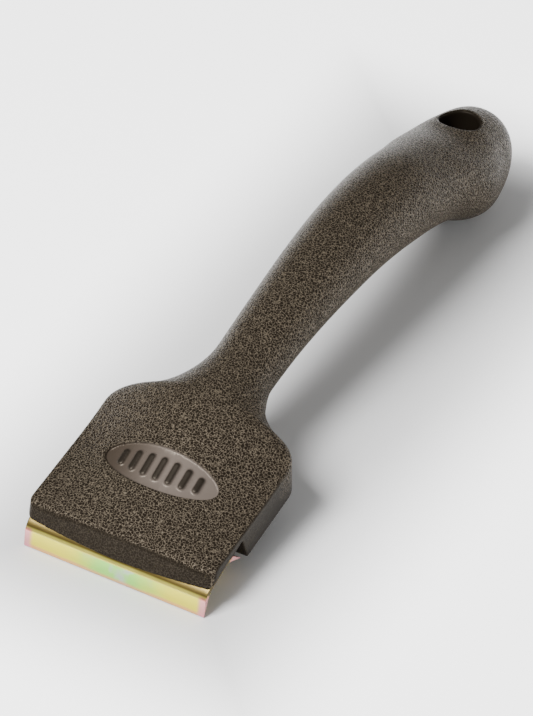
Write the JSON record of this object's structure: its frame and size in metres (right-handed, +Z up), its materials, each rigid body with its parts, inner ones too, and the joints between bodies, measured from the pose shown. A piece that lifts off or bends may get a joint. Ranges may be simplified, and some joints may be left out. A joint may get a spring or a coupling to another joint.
{
  "type": "floor scraper",
  "caption": "Hand floor scraper with a bowed moulded handle, a broad head and a reversible hooked two-edged blade clamped under it by a screw.",
  "frame": {"origin": "bottom centre of the tool resting on the floor, on the blade's front edge and the butt of the handle", "axes": "+Y runs from the blade to the butt of the handle, +Z is up, +X is along the blade's edge, to the right when the tool is seen from the blade end"},
  "size_m": [0.0654, 0.237, 0.0505],
  "materials": {
    "handle_plastic": "fine leather grain, satin",
    "blade_plating": "zinc plated with iridescent yellow chromate",
    "zinc_steel": "bright zinc plated",
    "insert_brass": "machined"
  },
  "bodies": {
    "handle": {"handle": "handle_plastic", "threaded_insert": "insert_brass"},
    "blade": {"blade": "blade_plating"},
    "clamp": {"clamp_plate": "zinc_steel", "lock_washer": "zinc_steel"},
    "screw": {"clamp_screw": "zinc_steel"}
  },
  "joints": [
    {"name": "screw_turn", "type": "hinge", "parent": "clamp", "child": "screw", "pos_m": [0, -0.10851, 0.00555], "axis": [0, 0.3256, -0.9455], "range_deg": [0, 1440]},
    {"name": "clamp_drop", "type": "slide", "parent": "handle", "child": "clamp", "axis": [0, 0.3256, -0.9455], "range_m": [0, 0.0032]},
    {"name": "blade_drop", "type": "slide", "parent": "handle", "child": "blade", "axis": [0, 0.3256, -0.9455], "range_m": [0, 0.0032]}
  ],
  "couplings": [
    {"joint": "screw_turn", "follows": "clamp_drop", "rad_per_m": 7854},
    {"joint": "blade_drop", "follows": "clamp_drop", "ratio": 1}
  ]
}
